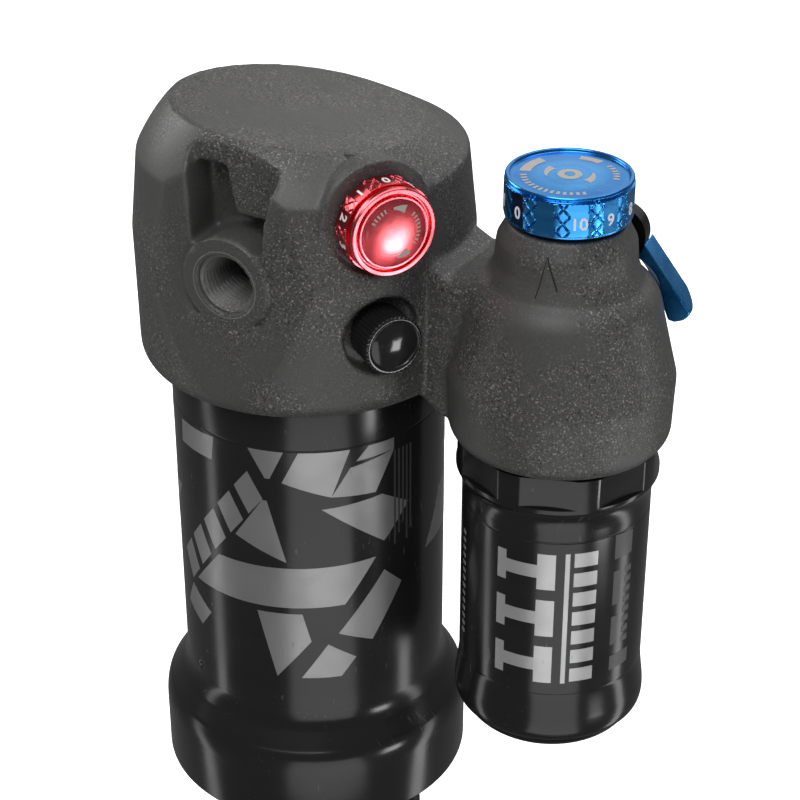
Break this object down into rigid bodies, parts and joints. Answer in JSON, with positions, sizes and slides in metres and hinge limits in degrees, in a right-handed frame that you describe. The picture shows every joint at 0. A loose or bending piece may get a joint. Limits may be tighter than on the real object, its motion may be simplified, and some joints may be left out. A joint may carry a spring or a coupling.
{
  "type": "rear shock",
  "caption": "Trunnion-mount air shock for a bicycle frame, with a piggyback reservoir, red rebound dial and blue compression dial and lever.",
  "frame": {"origin": "centre of the lower eyelet's 8 mm mounting bore", "axes": "+Z along the shock towards the trunnion mount, +X towards the reservoir, Y along both mounting axes"},
  "size_m": [0.0986, 0.0594, 0.2212],
  "materials": {
    "forged_head": "satin black cast-grain coating",
    "gloss_black": "gloss black anodised sleeve with grey printed shapes",
    "reservoir_black": "gloss black anodised tube with grey printed shapes",
    "hard_anodised": "hard anodised dark grey, polished",
    "red_anodised": "bright anodised red",
    "blue_anodised": "bright anodised blue",
    "black_anodised": "black anodised, fine turned",
    "plain_aluminium": "machined",
    "chrome_shaft": "ground and hard chromed",
    "steel": "turned steel",
    "brass": "turned brass",
    "bronze": "bronze with a dark liner",
    "rubber": "smooth black rubber",
    "cap_plastic": "moulded black plastic",
    "glide_plastic": "filled glide plastic",
    "bumper_foam": "yellowish microcellular bumper"
  },
  "bodies": {
    "shock_body": {"head_forging": "forged_head", "air_can": "gloss_black", "can_wiper": "rubber", "can_quad_seal": "rubber", "can_glide_band": "glide_plastic", "head_oring": "rubber", "volume_spacer": "glide_plastic", "damper_shaft": "chrome_shaft", "main_piston": "plain_aluminium", "piston_glide_band": "glide_plastic", "compression_shims": "steel", "rebound_shims": "steel", "shim_washers": "steel", "piston_nut": "steel", "topout_bumper": "rubber", "bottom_out_bumper": "bumper_foam", "rebound_oring": "rubber", "rebound_detent": "steel", "valve_body": "brass", "valve_core": "brass", "reservoir_tube": "reservoir_black", "reservoir_end_plug": "black_anodised", "end_plug_oring": "rubber", "fill_screw": "steel", "base_valve_body": "plain_aluminium", "base_valve_piston": "plain_aluminium", "base_valve_shims": "steel", "base_valve_nut": "steel", "compression_detent": "steel"},
    "damper_body": {"stanchion_tube": "hard_anodised", "seal_head": "black_anodised", "air_piston_seal": "rubber", "air_piston_bands": "glide_plastic", "shaft_bushing": "bronze", "shaft_seal": "rubber", "lower_eyelet": "black_anodised", "eyelet_bushing": "bronze"},
    "travel_ring": {"travel_ring": "rubber"},
    "floating_piston": {"floating_piston": "plain_aluminium", "floating_piston_seal": "rubber", "floating_piston_band": "glide_plastic"},
    "rebound_adjuster": {"rebound_knob": "red_anodised", "rebound_screw": "steel"},
    "metering_rod": {"metering_rod": "plain_aluminium"},
    "compression_adjuster": {"compression_knob": "blue_anodised", "compression_screw": "steel"},
    "compression_needle": {"compression_needle": "steel"},
    "compression_lever": {"lever_blade": "blue_anodised", "lever_hub": "black_anodised", "lever_shaft": "black_anodised"},
    "valve_cap": {"valve_cap": "cap_plastic"},
    "valve_pin": {"valve_pin": "brass"},
    "eyelet_hardware": {"eyelet_pin": "plain_aluminium", "eyelet_spacers": "black_anodised", "eyelet_orings": "rubber"}
  },
  "joints": [
    {"name": "shock_stroke", "type": "slide", "parent": "shock_body", "child": "damper_body", "axis": [0, 0, 1], "range_m": [0, 0.055], "stiffness_N_per_m": 20000, "springref_m": -0.01},
    {"name": "travel_ring_slide", "type": "slide", "parent": "damper_body", "child": "travel_ring", "axis": [0, 0, 1], "range_m": [-0.0395, 0]},
    {"name": "floating_piston_slide", "type": "slide", "parent": "shock_body", "child": "floating_piston", "axis": [0, 0, 1], "range_m": [-0.0108, 0]},
    {"name": "rebound_turn", "type": "hinge", "parent": "shock_body", "child": "rebound_adjuster", "pos_m": [0.02457, -0.01721, 0.1972], "axis": [0.8192, -0.5736, 0], "range_deg": [0, 324]},
    {"name": "metering_rod_slide", "type": "slide", "parent": "shock_body", "child": "metering_rod", "axis": [0, 0, 1], "range_m": [-0.0016, 0]},
    {"name": "compression_turn", "type": "hinge", "parent": "shock_body", "child": "compression_adjuster", "pos_m": [0.0493, 0, 0.2], "axis": [0, 0, 1], "range_deg": [0, 330]},
    {"name": "compression_needle_slide", "type": "slide", "parent": "shock_body", "child": "compression_needle", "axis": [0, 0, 1], "range_m": [-0.0016, 0]},
    {"name": "lever_swing", "type": "hinge", "parent": "shock_body", "child": "compression_lever", "pos_m": [0.05498, 0.0005, 0.1909], "axis": [0.0872, -0.9962, 0], "range_deg": [0, 60]},
    {"name": "valve_cap_off", "type": "slide", "parent": "shock_body", "child": "valve_cap", "axis": [0.8192, -0.5736, 0], "range_m": [0, 0.012]},
    {"name": "valve_pin_press", "type": "slide", "parent": "shock_body", "child": "valve_pin", "axis": [-0.8192, 0.5736, 0], "range_m": [0, 0.001], "stiffness_N_per_m": 300},
    {"name": "eyelet_turn", "type": "hinge", "parent": "damper_body", "child": "eyelet_hardware", "pos_m": [0, 0, 0], "axis": [0, 1, 0], "continuous": true}
  ],
  "couplings": [
    {"joint": "travel_ring_slide", "follows": "shock_stroke", "ratio": -0.71},
    {"joint": "floating_piston_slide", "follows": "shock_stroke", "ratio": -0.19446},
    {"joint": "metering_rod_slide", "follows": "rebound_turn", "m_per_rad": -0.0002653},
    {"joint": "compression_needle_slide", "follows": "compression_turn", "m_per_rad": -0.0002604}
  ]
}
